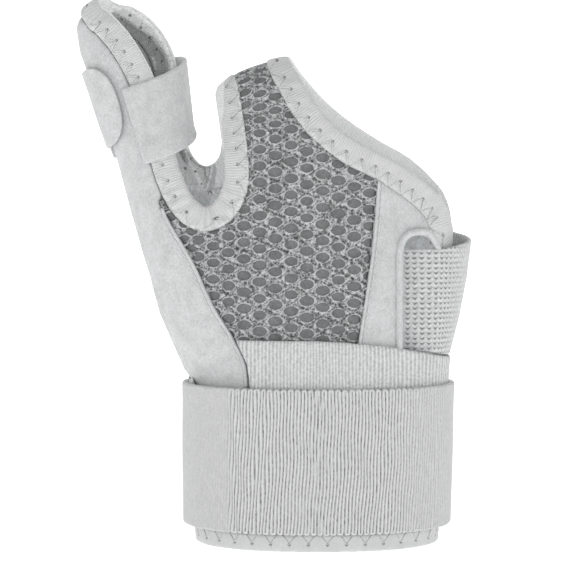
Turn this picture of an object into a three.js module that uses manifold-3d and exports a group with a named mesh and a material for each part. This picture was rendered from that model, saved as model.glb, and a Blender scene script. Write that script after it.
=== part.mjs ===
// A thumb spica splint: a hollow spacer-mesh mitt round the wrist, palm and thumb, closed by
// knitted elastic at the wrist and a brushed strap at the thumb. Millimetres, +Z up, palm side at -Y,
// thumb at -X. It stands on its wrist hem. The origin is on the floor, under the middle of the box
// round the whole splint.
import * as THREE from "three";
import { mergeVertices } from "three/addons/utils/BufferGeometryUtils.js";
import Module from "manifold-3d";

const wasm = await Module();
wasm.setup();

// Driving dimensions of the mitt.
const HEIGHT = 176; // hem to thumb tip
const HALF_WIDTH = 42; // half the width across the hand
const HALF_DEPTH = 26; // half the depth of the wrist, front to back
const THUMB_HALF_DEPTH = 15; // half the depth of the thumb sheath
const WALL = 3; // spacer mesh
const PANEL_RISE = 0.8; // brushed panels stand proud of the mesh by this
const CLEARANCE = 0.3; // between pieces that touch
const HOLLOW_FOOT_DROP = 10; // the hollow is cut this far past the open wrist

// Driving dimensions of the trims.
const BINDING_WIDTH = 7.5; // folded elastic edging
const BINDING_RISE = 0.9; // edging stands proud of the wall by this, inside and out
const HEM_WIDTH = 5.8;

// Driving dimensions of the wrist strap, which is wound twice.
const STRAP_WIDTH = 45.5;
const STRAP_THICKNESS = 1.8;
const OUTER_TURN_BASE = HEM_WIDTH + CLEARANCE;
const INNER_TURN_RISE = 15; // the inner turn lies this much higher than the outer one
const LOOP_HEIGHT = 28.5; // the stretch of strap that passes through the slot, where it comes out
const LOOP_RISE = 9; // its upper edge climbs by this on its way to the back
const LOOP_BULGE = 7; // how far its upper edge stands off the little-finger side
const LOOP_THICKNESS = 1.4;
const LOOP_SIDE_PLAY = 1.6; // between the strap and each side of the slot
const LOOP_TAIL = 5; // the end that lies inside the palm
const LOOP_SEWN_TURN = 0.42 * Math.PI; // where it is sewn down on the back
const CLOSURE_LENGTH = 42; // hook closure on the back of the wrist
const CLOSURE_THICKNESS = 1.6;
const CLOSURE_MARGIN = 3; // from the strap's edges

// Driving dimensions of the slot in the palm panel.
const SLOT_WIDTH = 11;
const SLOT_HEIGHT = 41.5;
const SLOT_BASE = 58;
const SLOT_SHARE = 0.76; // its middle, as a share of the half width

// Driving dimensions of the thumb strap and its tab.
const THUMB_STRAP_WIDTH = 24;
const THUMB_STRAP_THICKNESS = 1.7;
const THUMB_STRAP_MIDDLE = 0.79; // height of its middle, as a share of the whole height
const THUMB_STRAP_END = 0.36; // where its plain end lies, as a share of the way across the sheath
const THUMB_STRAP_CLIMB = 15; // degrees that it rises by from front to back
const THUMB_STRAP_REACH = 32; // half the size of the block that it is cut with
const THUMB_LEAN = 0.3; // radians from upright, towards the thumb side
const TAB_LENGTH = 26;
const TAB_REACH = 7.5; // how far the tab comes round the front
const TAB_RISE = 5; // its middle lies above the strap's by this
const TAB_BACK = 4.5; // the strap goes on from the tab this far behind the middle
const TAB_THICKNESS = 1.7;
const TAB_SQUARENESS = 0.8; // 1 is an ellipse, less is squarer

const RING_STEPS = 36; // points round a section
const GROWTH_WAYS = 8; // ways an area is shifted to grow it
const FAR = 150; // beyond the part on every side
const SECTION_POWER = 2.3; // 2 is an ellipse, more is squarer

// Sections of the palm tube, level with the floor: height as a share of HEIGHT, the ends on the thumb
// and little-finger sides as shares of HALF_WIDTH, the half depth as a share of HALF_DEPTH, and how
// far a row follows the wall's offset upwards, which closes the fold over the web of the hand.
const PALM_ROWS = [
  { height: 0.0, thumbEnd: -0.93, littleEnd: 0.93, depth: 1.0, lift: 0 },
  { height: 0.033, thumbEnd: -0.925, littleEnd: 0.925, depth: 1.0, lift: 0 },
  { height: 0.17, thumbEnd: -0.93, littleEnd: 0.94, depth: 0.97, lift: 0 },
  { height: 0.29, thumbEnd: -0.93, littleEnd: 0.95, depth: 0.94, lift: 0 },
  { height: 0.38, thumbEnd: -0.955, littleEnd: 0.985, depth: 0.93, lift: 0 },
  { height: 0.46, thumbEnd: -1.0, littleEnd: 1.0, depth: 0.93, lift: 0 },
  { height: 0.57, thumbEnd: -0.97, littleEnd: 1.03, depth: 0.9, lift: 0 },
  { height: 0.645, thumbEnd: -0.95, littleEnd: 1.035, depth: 0.86, lift: 0 },
  { height: 0.7, thumbEnd: -0.9, littleEnd: 1.03, depth: 0.82, lift: 0 },
  { height: 0.745, thumbEnd: -0.83, littleEnd: 1.02, depth: 0.77, lift: 0 },
  { height: 0.805, thumbEnd: -0.785, littleEnd: 0.95, depth: 0.66, lift: 0.2 },
  { height: 0.835, thumbEnd: -0.745, littleEnd: 0.86, depth: 0.56, lift: 0.6 },
  { height: 0.86, thumbEnd: -0.61, littleEnd: 0.71, depth: 0.42, lift: 0.9 },
  { height: 0.877, thumbEnd: -0.42, littleEnd: 0.48, depth: 0.28, lift: 1 },
  { height: 0.886, thumbEnd: -0.26, littleEnd: 0.1, depth: 0.12, lift: 1 },
];

// Sections of the thumb sheath in the same terms, with its depth a share of THUMB_HALF_DEPTH.
const THUMB_ROWS = [
  { height: 0.25, thumbEnd: -0.84, littleEnd: -0.3, depth: 0.6, lift: 0 },
  { height: 0.31, thumbEnd: -0.99, littleEnd: -0.24, depth: 1.07, lift: 0 },
  { height: 0.37, thumbEnd: -1.11, littleEnd: -0.24, depth: 1.27, lift: 0 },
  { height: 0.43, thumbEnd: -1.2, littleEnd: -0.29, depth: 1.3, lift: 0 },
  { height: 0.52, thumbEnd: -1.32, littleEnd: -0.48, depth: 1.27, lift: 0 },
  { height: 0.614, thumbEnd: -1.43, littleEnd: -0.72, depth: 1.17, lift: 0 },
  { height: 0.705, thumbEnd: -1.53, littleEnd: -0.93, depth: 1.05, lift: 0 },
  { height: 0.767, thumbEnd: -1.62, littleEnd: -1.02, depth: 0.97, lift: 0 },
  { height: 0.833, thumbEnd: -1.71, littleEnd: -1.05, depth: 0.97, lift: 0 },
  { height: 0.898, thumbEnd: -1.81, littleEnd: -1.08, depth: 0.93, lift: 0.2 },
  { height: 0.943, thumbEnd: -1.84, littleEnd: -1.19, depth: 0.8, lift: 0.6 },
  { height: 0.977, thumbEnd: -1.78, littleEnd: -1.37, depth: 0.53, lift: 0.9 },
  { height: 0.995, thumbEnd: -1.68, littleEnd: -1.5, depth: 0.24, lift: 1 },
];

// The edges that are cut away, seen from the front: across as a share of HALF_WIDTH, up as a share
// of HEIGHT. Each runs from the thumb side to the little-finger side.
const THUMB_EDGE_FRONT = [
  [-1.73, 1.06], [-1.66, 0.985], [-1.57, 0.965], [-1.433, 0.929], [-1.333, 0.892], [-1.264, 0.86],
  [-1.205, 0.824], [-1.143, 0.774], [-1.1, 0.726], [-1.069, 0.695], [-1.023, 0.665],
  [-0.962, 0.637], [-0.9, 0.621], [-0.838, 0.615], [-0.774, 0.625], [-0.722, 0.645],
  [-0.7, 0.672], [-0.71, 0.711], [-0.731, 0.749], [-0.762, 0.797], [-0.79, 0.83], [-0.86, 0.87],
];
const THUMB_EDGE_BACK = [
  [-1.73, 1.06], [-1.6, 0.995], [-1.42, 0.983], [-1.25, 0.952], [-1.13, 0.905], [-1.08, 0.85],
  [-1.05, 0.795], [-1.025, 0.739], [-0.985, 0.713], [-0.917, 0.695], [-0.857, 0.69],
  [-0.79, 0.699], [-0.745, 0.722], [-0.74, 0.767], [-0.765, 0.801], [-0.79, 0.83], [-0.86, 0.87],
];
const FINGER_EDGE_FRONT = [
  [-0.24, 0.93], [-0.2, 0.879], [-0.138, 0.851], [-0.045, 0.809], [0.09, 0.769], [0.281, 0.733],
  [0.51, 0.706], [0.7, 0.678], [0.869, 0.647], [0.983, 0.615], [1.04, 0.578], [1.16, 0.55],
  [1.6, 0.53], [3.5, 0.53],
];
const FINGER_EDGE_BACK = [
  [-0.24, 0.93], [-0.19, 0.882], [-0.062, 0.846], [0.09, 0.809], [0.281, 0.773], [0.51, 0.738],
  [0.738, 0.706], [0.929, 0.66], [1.024, 0.615], [1.05, 0.578], [1.16, 0.55],
  [1.6, 0.53], [3.5, 0.53],
];

// The brushed thumb panel: its edge on the palm side, its lower edge round the thumb side, and the
// edge of its back half.
const THUMB_PANEL_FRONT = [
  [-2.4, 1.1], [-1.0, 1.1], [-1.0, 0.72], [-1.2, 0.625], [-1.11, 0.588], [-0.93, 0.515], [-0.785, 0.44],
  [-0.62, 0.375], [-0.54, 0.335], [-0.5, 0.26], [-0.905, 0.26], [-0.94, 0.3], [-1.16, 0.42], [-1.5, 0.6],
  [-2.4, 0.6],
];
const THUMB_PANEL_BACK = [
  [-2.4, 1.1], [-1.0, 1.1], [-1.0, 0.72], [-1.15, 0.64], [-1.3, 0.58], [-1.5, 0.6], [-2.4, 0.6],
];
// The palm panel, which carries a stiffening stay and the strap's slot.
const PALM_PANEL = [
  [0.44, 0.9], [0.44, 0.655], [0.395, 0.53], [0.29, 0.36], [0.26, 0.26], [1.3, 0.26], [1.3, 0.9],
];
// Upper edge of the inner turn of the wrist strap, which dips towards the little-finger side.
const INNER_TURN_DIP = [
  { across: -1.2, drop: 0 }, { across: 0.1, drop: 0 }, { across: 0.5, drop: 1.8 },
  { across: 0.85, drop: 5 }, { across: 1.2, drop: 8.5 },
];

// A mesh as a solid that can be cut and joined.
function solidFrom(geometry) {
  const plain = new THREE.BufferGeometry();
  plain.setAttribute("position", geometry.getAttribute("position"));
  if (geometry.index) plain.setIndex(geometry.index);
  const merged = mergeVertices(plain, 1e-4);
  return new wasm.Manifold(new wasm.Mesh({
    numProp: 3,
    vertProperties: new Float32Array(merged.attributes.position.array),
    triVerts: new Uint32Array(merged.index.array),
  }));
}

function geometryFrom(solid) {
  const mesh = solid.getMesh();
  const geometry = new THREE.BufferGeometry();
  geometry.setAttribute("position", new THREE.BufferAttribute(mesh.vertProperties, 3));
  geometry.setIndex(new THREE.BufferAttribute(mesh.triVerts, 1));
  return geometry;
}

// A value between the rows of a table, on a smooth curve through them.
function along(rows, key, at) {
  const last = rows.length - 1;
  let i = 0;
  while (i < last - 1 && rows[i + 1].height < at) i += 1;
  const [before, from, to, after] = [i - 1, i, i + 1, i + 2].map(
    (n) => rows[Math.min(Math.max(n, 0), last)]);
  const t = Math.min(Math.max((at - from.height) / (to.height - from.height), 0), 1);
  const slope = (a, b) => (b.height > a.height ? (b[key] - a[key]) / (b.height - a.height) : 0);
  const span = to.height - from.height;
  const [rise0, rise1] = [slope(before, to) * span, slope(from, after) * span];
  const [t2, t3] = [t * t, t * t * t];
  return (2 * t3 - 3 * t2 + 1) * from[key] + (t3 - 2 * t2 + t) * rise0
    + (3 * t2 - 2 * t3) * to[key] + (t3 - t2) * rise1;
}

// A point of a section: turn 0 is the little-finger side and a quarter turn is the back.
function sectionPoint(rows, halfDepth, share, turn, offset) {
  const thumbEnd = along(rows, "thumbEnd", share) * HALF_WIDTH;
  const littleEnd = along(rows, "littleEnd", share) * HALF_WIDTH;
  const across = Math.max((littleEnd - thumbEnd) / 2 + offset, 0.4);
  const deep = Math.max(along(rows, "depth", share) * halfDepth + offset, 0.4);
  const [c, s] = [Math.cos(turn), Math.sin(turn)];
  const power = 2 / SECTION_POWER;
  return new THREE.Vector3(
    (littleEnd + thumbEnd) / 2 + across * Math.sign(c) * Math.abs(c) ** power,
    deep * Math.sign(s) * Math.abs(s) ** power,
    share * HEIGHT + offset * along(rows, "lift", share));
}

const palmPoint = (share, turn, offset) => sectionPoint(PALM_ROWS, HALF_DEPTH, share, turn, offset);

// A closed solid through rings of points, each ring with as many points as the next.
function ringSolid(rings, closedLoop) {
  const count = rings[0].length;
  const positions = rings.flat().flatMap((p) => [p.x, p.y, p.z]);
  const faces = [];
  const quad = (a, b, c, d) => faces.push(a, b, c, a, c, d);
  const spans = closedLoop ? rings.length : rings.length - 1;
  for (let r = 0; r < spans; r += 1) {
    const [low, high] = [r * count, ((r + 1) % rings.length) * count];
    for (let i = 0; i < count; i += 1) {
      const j = (i + 1) % count;
      quad(low + i, low + j, high + j, high + i);
    }
  }
  if (!closedLoop) {
    [[rings[0], 0], [rings[rings.length - 1], (rings.length - 1) * count]].forEach(
      ([ring, start], end) => {
        const middle = ring.reduce((sum, p) => sum.add(p), new THREE.Vector3()).divideScalar(count);
        const hub = positions.length / 3;
        positions.push(middle.x, middle.y, middle.z);
        for (let i = 0; i < count; i += 1) {
          const j = (i + 1) % count;
          if (end) faces.push(hub, start + i, start + j);
          else faces.push(hub, start + j, start + i);
        }
      });
  }
  const geometry = new THREE.BufferGeometry();
  geometry.setAttribute("position", new THREE.Float32BufferAttribute(positions, 3));
  geometry.setIndex(faces);
  const solid = solidFrom(geometry);
  if (solid.volume() > 0) return solid;
  for (let i = 0; i < faces.length; i += 3) [faces[i], faces[i + 1]] = [faces[i + 1], faces[i]];
  geometry.setIndex(faces);
  return solidFrom(geometry);
}

// The tube or sheath as one solid, grown by an offset, with an open foot where asked.
function tube(rows, halfDepth, offset, footDrop) {
  const rings = rows.map((row) => Array.from({ length: RING_STEPS }, (_, i) => (
    sectionPoint(rows, halfDepth, row.height, (i / RING_STEPS) * 2 * Math.PI, offset))));
  if (footDrop) rings.unshift(rings[0].map((p) => new THREE.Vector3(p.x, p.y, p.z - footDrop)));
  return ringSolid(rings, false);
}

// The whole mitt, grown or shrunk by an offset.
function mittForm(offset, footDrop) {
  return tube(PALM_ROWS, HALF_DEPTH, offset, footDrop)
    .add(tube(THUMB_ROWS, THUMB_HALF_DEPTH, offset, 0));
}

const placed = (points) => points.map(([across, up]) => (
  new THREE.Vector2(across * HALF_WIDTH, up * HEIGHT)));

// A prism from an outline seen from the front, between two depths.
function prism(outline, nearY, farY) {
  const geometry = new THREE.ExtrudeGeometry(new THREE.Shape(outline), {
    depth: farY - nearY, bevelEnabled: false, curveSegments: 1 });
  geometry.rotateX(Math.PI / 2); // outline up to Z, thickness towards -Y
  geometry.translate(0, farY, 0);
  return solidFrom(geometry);
}

const front = (outline) => prism(outline, -FAR, 0);
const back = (outline) => prism(outline, 0, FAR);
const slab = (low, high) => prism(
  [[-FAR, low], [FAR, low], [FAR, high], [-FAR, high]].map((p) => new THREE.Vector2(...p)), -FAR, FAR);

// The edge as a smooth line, moved off the opening by a width.
function edgeLine(points, width) {
  const curve = new THREE.SplineCurve(placed(points));
  const steps = points.length * 2;
  return Array.from({ length: steps + 1 }, (_, i) => {
    const tangent = curve.getTangent(i / steps);
    return curve.getPoint(i / steps).add(new THREE.Vector2(-tangent.y, tangent.x).multiplyScalar(-width));
  });
}

// What an opening removes: everything above its edge.
function above(points, width) {
  const line = edgeLine(points, width);
  return [...line, new THREE.Vector2(line[line.length - 1].x, HEIGHT + FAR),
    new THREE.Vector2(line[0].x, HEIGHT + FAR)];
}

function opening(frontEdge, backEdge, width) {
  return front(above(frontEdge, width)).add(back(above(backEdge, width)));
}

const outer = mittForm(0, 0);
const hollow = mittForm(-WALL, HOLLOW_FOOT_DROP);
const outside = slab(HEM_WIDTH + CLEARANCE, HEIGHT + FAR);

const thumbHole = opening(THUMB_EDGE_FRONT, THUMB_EDGE_BACK, 0);
const fingerHole = opening(FINGER_EDGE_FRONT, FINGER_EDGE_BACK, 0);
const thumbTrim = opening(THUMB_EDGE_FRONT, THUMB_EDGE_BACK, BINDING_WIDTH);
const fingerTrim = opening(FINGER_EDGE_FRONT, FINGER_EDGE_BACK, BINDING_WIDTH);
const thumbTrimSpace = opening(THUMB_EDGE_FRONT, THUMB_EDGE_BACK, BINDING_WIDTH + CLEARANCE);
const fingerTrimSpace = opening(FINGER_EDGE_FRONT, FINGER_EDGE_BACK, BINDING_WIDTH + CLEARANCE);

// Elastic edging: a thicker wall along the edge of an opening.
function binding(trim, hole) {
  return mittForm(BINDING_RISE, 0)
    .subtract(mittForm(-WALL - BINDING_RISE, HOLLOW_FOOT_DROP))
    .intersect(trim)
    .subtract(hole);
}

const insideTrims = (solid) => solid.subtract(thumbTrimSpace).subtract(fingerTrimSpace);

const thumbPanelArea = front(placed(THUMB_PANEL_FRONT)).add(back(placed(THUMB_PANEL_BACK)));
const palmPanelArea = front(placed(PALM_PANEL));
const raisedWall = insideTrims(mittForm(PANEL_RISE, 0).subtract(hollow).intersect(outside));

// An area grown by the clearance: its copies shifted each way.
function grown(area) {
  const ways = Array.from({ length: GROWTH_WAYS }, (_, n) => (n / GROWTH_WAYS) * 2 * Math.PI);
  return ways.reduce((sum, turn) => sum.add(area.translate(
    [Math.cos(turn) * CLEARANCE, 0, Math.sin(turn) * CLEARANCE])), area);
}

// The slot: a tall opening with a round head, cut through the palm panel.
function slotCut() {
  const middle = SLOT_SHARE * HALF_WIDTH;
  const shape = new THREE.Shape();
  shape.moveTo(middle - SLOT_WIDTH / 2, SLOT_BASE);
  shape.lineTo(middle + SLOT_WIDTH / 2, SLOT_BASE);
  shape.lineTo(middle + SLOT_WIDTH / 2, SLOT_BASE + SLOT_HEIGHT - SLOT_WIDTH / 2);
  shape.absarc(middle, SLOT_BASE + SLOT_HEIGHT - SLOT_WIDTH / 2, SLOT_WIDTH / 2, 0, Math.PI, false);
  return front(shape.getPoints(6));
}

// The largest body of a solid, without the crumbs that a cut leaves where two panels nearly meet.
const withoutCrumbs = (solid) => solid.decompose().sort((a, b) => b.volume() - a.volume())[0];

const slot = slotCut();
const thumbPanel = raisedWall.intersect(thumbPanelArea);
const palmPanel = raisedWall.intersect(palmPanelArea).subtract(slot);
const handMesh = withoutCrumbs(insideTrims(outer.subtract(hollow).intersect(outside))
  .subtract(grown(thumbPanelArea))
  .subtract(grown(palmPanelArea)));

// A strap or ring that follows the palm tube. Its edges may change round the turn, and its offset may
// change round the turn and across the strap.
function band({ from, to, low, high, offset, thickness, rows, steps }) {
  const whole = to - from >= 2 * Math.PI - 1e-6;
  const count = whole ? steps : steps + 1;
  const rings = Array.from({ length: count }, (_, i) => {
    const turn = from + (i / steps) * (to - from);
    const sheet = (extra) => Array.from({ length: rows + 1 }, (_unused, r) => {
      const z = low(turn) + (r / rows) * (high(turn) - low(turn));
      return palmPoint(z / HEIGHT, turn, offset(turn, r / rows) + extra);
    });
    return [...sheet(0), ...sheet(thickness).reverse()];
  });
  return ringSolid(rings, whole);
}

const level = (value) => () => value;
const INNER_TURN_OFFSET = PANEL_RISE + CLEARANCE;
const OUTER_TURN_OFFSET = INNER_TURN_OFFSET + STRAP_THICKNESS + CLEARANCE;
const outerTurnTop = OUTER_TURN_BASE + STRAP_WIDTH;
const innerTurnTop = outerTurnTop + INNER_TURN_RISE;

function dip(turn) {
  const across = palmPoint(innerTurnTop / HEIGHT, turn, 0).x / HALF_WIDTH;
  const next = Math.max(INNER_TURN_DIP.findIndex((row) => row.across > across), 1);
  const [a, b] = [INNER_TURN_DIP[next - 1], INNER_TURN_DIP[next]];
  return a.drop + ((across - a.across) / (b.across - a.across)) * (b.drop - a.drop);
}

const fullTurn = { from: 0, to: 2 * Math.PI, rows: 3, steps: 48 };
const outerTurn = band({ ...fullTurn, low: level(OUTER_TURN_BASE), high: level(outerTurnTop),
  offset: level(OUTER_TURN_OFFSET), thickness: STRAP_THICKNESS });
const innerTurn = band({ ...fullTurn, low: level(OUTER_TURN_BASE + INNER_TURN_RISE),
  high: (turn) => innerTurnTop - dip(turn), offset: level(INNER_TURN_OFFSET), thickness: STRAP_THICKNESS })
  .subtract(grown(thumbPanelArea))
  .subtract(tube(THUMB_ROWS, THUMB_HALF_DEPTH, PANEL_RISE + CLEARANCE, 0));

// The hem: a rounded ring that the splint stands on.
const hem = band({ ...fullTurn, rows: 1, low: level(0), high: level(HEM_WIDTH),
  offset: level(-WALL - BINDING_RISE), thickness: WALL + 2 * BINDING_RISE });

// Where a plumb line at this share of the half width meets the tube's front, as a turn.
function frontTurnAt(across, height) {
  let [low, high] = [-Math.PI, 0];
  for (let i = 0; i < 40; i += 1) {
    const middle = (low + high) / 2;
    if (palmPoint(height / HEIGHT, middle, 0).x / HALF_WIDTH < across) low = middle;
    else high = middle;
  }
  return (low + high) / 2;
}

// The stretch of strap that comes out of the slot, stands off the little-finger side and is sewn
// down on the back.
function strapLoop() {
  const slotTurn = (side) => frontTurnAt(
    SLOT_SHARE + side * (SLOT_WIDTH / 2 - LOOP_SIDE_PLAY) / HALF_WIDTH, SLOT_BASE + SLOT_HEIGHT / 2);
  const [enters, leaves] = [slotTurn(-1), slotTurn(1)];
  const inside = -WALL - LOOP_THICKNESS - 2 * CLEARANCE;
  const outsideOffset = PANEL_RISE + CLEARANCE;
  const share = (turn, from, to) => Math.min(Math.max((turn - from) / (to - from), 0), 1);
  const bulge = (turn, up) => (LOOP_BULGE - outsideOffset) * Math.sin((Math.PI / 2) * up)
    * Math.sin(Math.PI * share(turn, leaves, LOOP_SEWN_TURN));
  return band({ from: enters - LOOP_TAIL / HALF_WIDTH, to: LOOP_SEWN_TURN, rows: 3, steps: 40,
    offset: (turn, up) => inside + (outsideOffset - inside) * share(turn, enters, leaves)
      + bulge(turn, up),
    thickness: LOOP_THICKNESS,
    low: (turn) => innerTurnTop - dip(turn) + CLEARANCE,
    high: (turn) => innerTurnTop + LOOP_HEIGHT + LOOP_RISE * share(turn, leaves, LOOP_SEWN_TURN) });
}

// The hook closure: a patch on the back of the outer turn.
function closure() {
  const half = CLOSURE_LENGTH / 2 / HALF_WIDTH;
  return band({ from: Math.PI / 2 - half, to: Math.PI / 2 + half, rows: 2, steps: 14,
    low: level(OUTER_TURN_BASE + CLOSURE_MARGIN), high: level(outerTurnTop - CLOSURE_MARGIN),
    offset: level(OUTER_TURN_OFFSET + STRAP_THICKNESS + CLEARANCE), thickness: CLOSURE_THICKNESS });
}

// The thumb strap goes round the sheath and its edging, from a plain end on the front, round the
// back, to a rounded tab on the thumb side.
const thumbRow = (key) => along(THUMB_ROWS, key, THUMB_STRAP_MIDDLE) * HALF_WIDTH;
const strapHeight = THUMB_STRAP_MIDDLE * HEIGHT;
const strapMiddle = new THREE.Vector2((thumbRow("thumbEnd") + thumbRow("littleEnd")) / 2, strapHeight);
const alongThumb = new THREE.Vector2(-Math.sin(THUMB_LEAN), Math.cos(THUMB_LEAN));
const acrossThumb = new THREE.Vector2(Math.cos(THUMB_LEAN), Math.sin(THUMB_LEAN));
const STRAP_BASE = BINDING_RISE + CLEARANCE;
const sheathForm = (offset) => tube(THUMB_ROWS, THUMB_HALF_DEPTH, offset, 0);

// A place seen from the front, so far across and so far along the thumb from the strap's middle.
const byStrap = (across, up) => strapMiddle.clone().addScaledVector(acrossThumb, across)
  .addScaledVector(alongThumb, up);

// A four-sided outline square to the thumb.
const strapBlock = (left, right, halfLength) => [
  byStrap(left, -halfLength), byStrap(right, -halfLength), byStrap(right, halfLength),
  byStrap(left, halfLength)];

function thumbStrap() {
  const course = prism(strapBlock(-THUMB_STRAP_REACH, THUMB_STRAP_REACH, THUMB_STRAP_WIDTH / 2), -FAR, FAR)
    .translate([0, 0, -strapHeight])
    .rotate([THUMB_STRAP_CLIMB, 0, 0])
    .translate([0, 0, strapHeight]);
  const endAcross = (THUMB_STRAP_END - 0.5) * (thumbRow("littleEnd") - thumbRow("thumbEnd"));
  const left = prism(strapBlock(-THUMB_STRAP_REACH, endAcross, THUMB_STRAP_REACH), -FAR, TAB_BACK + CLEARANCE);
  return sheathForm(STRAP_BASE + THUMB_STRAP_THICKNESS)
    .subtract(sheathForm(STRAP_BASE))
    .intersect(course)
    .subtract(left);
}

// The tab is as round as a fingertip on the front and runs square into the strap behind.
function thumbTab() {
  const sideAcross = (thumbRow("thumbEnd") - thumbRow("littleEnd")) / 2;
  const outline = Array.from({ length: 24 }, (_, i) => {
    const [c, d] = [Math.cos((i / 24) * 2 * Math.PI), Math.sin((i / 24) * 2 * Math.PI)];
    return byStrap(sideAcross + c * (c > 0 ? TAB_REACH : THUMB_STRAP_REACH / 2),
      Math.sign(d) * Math.abs(d) ** TAB_SQUARENESS * TAB_LENGTH / 2 + TAB_RISE);
  });
  return sheathForm(STRAP_BASE + TAB_THICKNESS)
    .subtract(sheathForm(STRAP_BASE))
    .intersect(prism(outline, -FAR, TAB_BACK));
}

const GREY = { brushed: 0xe2e3e4, mesh: 0xb4b8b9, elastic: 0xe6e7e7, knit: 0xd9dbdb };
const splint = new THREE.Group();

// The finished solids by name, each with its colour and roughness.
const pieces = {
  hand_mesh: [handMesh, GREY.mesh, 0.85],
  thumb_panel: [thumbPanel, GREY.brushed, 0.95],
  palm_panel: [palmPanel, GREY.brushed, 0.95],
  thumb_binding: [binding(thumbTrim, thumbHole), GREY.elastic, 0.8],
  finger_binding: [binding(fingerTrim, fingerHole), GREY.elastic, 0.8],
  hem_binding: [hem, GREY.elastic, 0.8],
  wrist_strap_inner: [innerTurn, GREY.knit, 0.9],
  wrist_strap_outer: [outerTurn, GREY.knit, 0.9],
  wrist_strap_loop: [strapLoop(), GREY.knit, 0.9],
  strap_closure: [closure(), GREY.brushed, 0.95],
  thumb_strap: [thumbStrap(), GREY.brushed, 0.95],
  thumb_tab: [thumbTab(), GREY.brushed, 0.95],
};
const box = new THREE.Box3(); // round the whole splint
for (const [solid] of Object.values(pieces)) {
  box.union(new THREE.Box3().setFromBufferAttribute(geometryFrom(solid).getAttribute("position")));
}
const middle = box.getCenter(new THREE.Vector3());
for (const [name, [solid, colour, roughness]] of Object.entries(pieces)) {
  const mesh = new THREE.Mesh(geometryFrom(solid),
    new THREE.MeshStandardMaterial({ color: colour, roughness, metalness: 0 }));
  mesh.name = name;
  mesh.position.set(-middle.x, -middle.y, -box.min.z);
  splint.add(mesh);
}

export default splint;
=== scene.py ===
"""A thumb spica splint in pale grey cloth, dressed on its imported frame. Metres, +Z up, palm side at -Y."""
import math

import bmesh
import bpy
import numpy as np
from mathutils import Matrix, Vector
from mathutils.bvhtree import BVHTree


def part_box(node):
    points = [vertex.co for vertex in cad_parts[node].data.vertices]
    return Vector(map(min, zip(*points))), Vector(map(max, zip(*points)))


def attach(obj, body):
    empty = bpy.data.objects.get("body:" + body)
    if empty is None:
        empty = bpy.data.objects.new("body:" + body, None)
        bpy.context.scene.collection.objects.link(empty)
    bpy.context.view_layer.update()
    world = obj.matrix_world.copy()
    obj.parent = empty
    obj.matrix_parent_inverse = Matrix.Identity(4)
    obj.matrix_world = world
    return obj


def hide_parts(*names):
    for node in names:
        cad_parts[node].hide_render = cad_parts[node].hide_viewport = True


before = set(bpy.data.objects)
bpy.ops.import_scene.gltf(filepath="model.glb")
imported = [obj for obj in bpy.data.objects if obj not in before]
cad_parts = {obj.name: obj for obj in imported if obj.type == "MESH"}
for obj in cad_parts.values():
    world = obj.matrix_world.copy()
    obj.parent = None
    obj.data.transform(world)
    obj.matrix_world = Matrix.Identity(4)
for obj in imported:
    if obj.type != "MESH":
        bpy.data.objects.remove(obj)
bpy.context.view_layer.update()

MM = 0.001

# Sizes of the splint that the dressing follows.
HEIGHT = 176 * MM
HALF_WIDTH = 42 * MM
HALF_DEPTH = 26 * MM
THUMB_HALF_DEPTH = 15 * MM
SECTION_POWER = 2.3
BINDING_WIDTH = 7.5 * MM

# Sizes of the cloths.
HOLE_PITCH_ACROSS = 9.9 * MM  # between holes of one row; the rows between are staggered by half
HOLE_PITCH_UP = 5.2 * MM
HOLE_HALF_WIDTH = 2.05 * MM
HOLE_HALF_HEIGHT = 1.4 * MM
HOLE_SIDES = 16
# From a hole's wall to the middle of the ground between holes: growth, lift and brightness of the rim.
NET_PROFILE = [(1.0, -0.1 * MM, 0.0), (1.12, 0.62 * MM, 1.0), (1.3, 0.5 * MM, 0.6), (1.8, 0.3 * MM, 0.0)]
RIB_PITCH = 1.35 * MM
RIB_HEIGHT = 0.5 * MM
WAFFLE_PITCH = 2.0 * MM
WAFFLE_ROW = 1.6 * MM
LOOP_PITCH = 2.15 * MM  # one hairpin of yarn, which makes two ribs
YARN_WIDTH = 0.84 * MM
OUTER_COLUMNS = 1320
STRAP_SHARE = 0.16  # height at which the outer turn's run is measured, as a share of HEIGHT
STRAP_EDGE = 1.6 * MM  # rows of the knit lie closer here
INNER_TURN_RADIUS = 37 * MM
STRAP_THICKNESS = 1.8 * MM
OUTER_TURN_FACE = 5.0 * MM  # outside the palm tube
BRUSHED_UP_TO = -15.7 * MM  # the outer turn is brushed smooth on the thumb side of this
FLAT_AFTER, FLAT_FADE = 52 * MM, 16 * MM  # and its ribs sink towards the little-finger side
ELASTIC_RIB_PITCH = 0.75 * MM
EDGING_FACE = 0.56 * MM  # the edgings' dressed face, outside their solids
HEM_FACE = 0.9 * MM  # outside the palm tube
THREAD_RADIUS = 0.15 * MM
STITCH_PITCH = 4.9 * MM
STITCH_REACH = 2.9 * MM  # from the pinhole to the ends of the V's arms
PINHOLE_DEPTH = 4.2 * MM  # from the edge to the row of pinholes
HEM_STITCH_PITCH = 6.1 * MM
HEM_STITCH_SPREAD = 2.3 * MM  # from the pinhole to each side
HEM_HOLE_RISE = 2.5 * MM
SEAM_STEP = 0.2 * MM
LONGEST_STEP = 1.5 * MM  # a strand with a longer step would jump off its piece
THROUGH_STRENGTH = 0.24  # glow of the inner faces

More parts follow.
